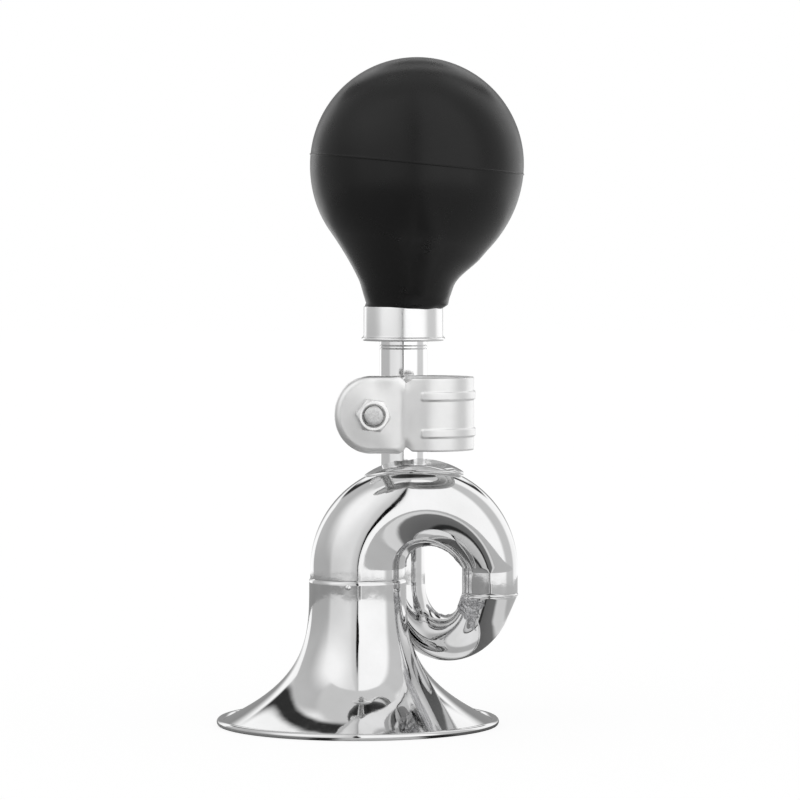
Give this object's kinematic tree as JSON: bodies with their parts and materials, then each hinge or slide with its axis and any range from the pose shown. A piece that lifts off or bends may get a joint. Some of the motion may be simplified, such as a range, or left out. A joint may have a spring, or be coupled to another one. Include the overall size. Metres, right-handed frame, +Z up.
{
  "type": "bicycle bulb horn",
  "caption": "Bicycle bulb horn: a black rubber bulb blows a brass reed into a coiled, tapering chromed tube with a flared bell; a strap clamp holds the handlebar.",
  "frame": {"origin": "middle of the horn's outline seen from above, at the height of the bell's rim, on which it stands", "axes": "+Z up along the straight neck towards the bulb; -Y is the front, where the bell, the upper bend and the handlebar band lie; +X is to the right when the front is seen"},
  "size_m": [0.0814, 0.0836, 0.1762],
  "materials": {
    "horn_chrome": "mirror chrome plate on thin steel sheet",
    "solder": "rough plated solder",
    "bright_nickel": "bright nickel plate, slightly soft reflections",
    "bulb_rubber": "matt black moulded rubber",
    "bush_rubber": "matt rubber",
    "reed_brass": "turned brass",
    "tongue_brass": "thin rolled brass strip",
    "clamp_zinc": "satin zinc plate on pressed steel strap",
    "fastener_zinc": "zinc plated steel"
  },
  "bodies": {
    "horn": {"bell": "horn_chrome", "bell_joint_solder": "solder", "upper_bend": "horn_chrome", "upper_seam_solder": "solder", "loop_joint_solder": "solder", "lower_bend": "horn_chrome", "lower_seam_solder": "solder", "leg_solder": "solder", "neck_tube": "bright_nickel", "saddle_plate": "horn_chrome", "bulb_collar": "bright_nickel", "reed_bush": "bush_rubber", "reed_body": "reed_brass", "reed_wedge": "reed_brass"},
    "bulb": {"bulb": "bulb_rubber"},
    "tongue": {"reed_tongue": "tongue_brass"},
    "clip": {"neck_clip": "clamp_zinc", "plain_washer": "fastener_zinc", "spring_washer": "fastener_zinc"},
    "band": {"handlebar_band": "clamp_zinc"},
    "bolt": {"clamp_bolt": "fastener_zinc"},
    "nut": {"clamp_nut": "fastener_zinc"}
  },
  "joints": [
    {"name": "clip_swivel", "type": "hinge", "parent": "horn", "child": "clip", "pos_m": [0.00847, 0.01307, 0.0824], "axis": [0, 0, 1], "continuous": true},
    {"name": "band_swivel", "type": "hinge", "parent": "clip", "child": "band", "pos_m": [-0.00345, 0.01172, 0.0824], "axis": [0.1132, -0.9936, 0], "range_deg": [-4, 180]},
    {"name": "bolt_turn", "type": "hinge", "parent": "clip", "child": "bolt", "pos_m": [-0.00345, 0.01172, 0.0824], "axis": [-0.1132, 0.9936, 0], "range_deg": [0, 1080]},
    {"name": "nut_travel", "type": "slide", "parent": "clip", "child": "nut", "axis": [0.1132, -0.9936, 0], "range_m": [0, 0.0024]},
    {"name": "bulb_squeeze", "type": "slide", "parent": "horn", "child": "bulb", "axis": [-0.0958, 0, -0.9954], "range_m": [0, 0.009], "stiffness_N_per_m": 1200, "deforming": ["bulb"]},
    {"name": "reed_flex", "type": "hinge", "parent": "horn", "child": "tongue", "pos_m": [0.00847, 0.01162, 0.1022], "axis": [1, 0, 0], "range_deg": [-1.9, 0.6], "stiffness_Nm_per_rad": 0.002}
  ],
  "couplings": [
    {"joint": "bolt_turn", "follows": "nut_travel", "rad_per_m": 7854}
  ]
}
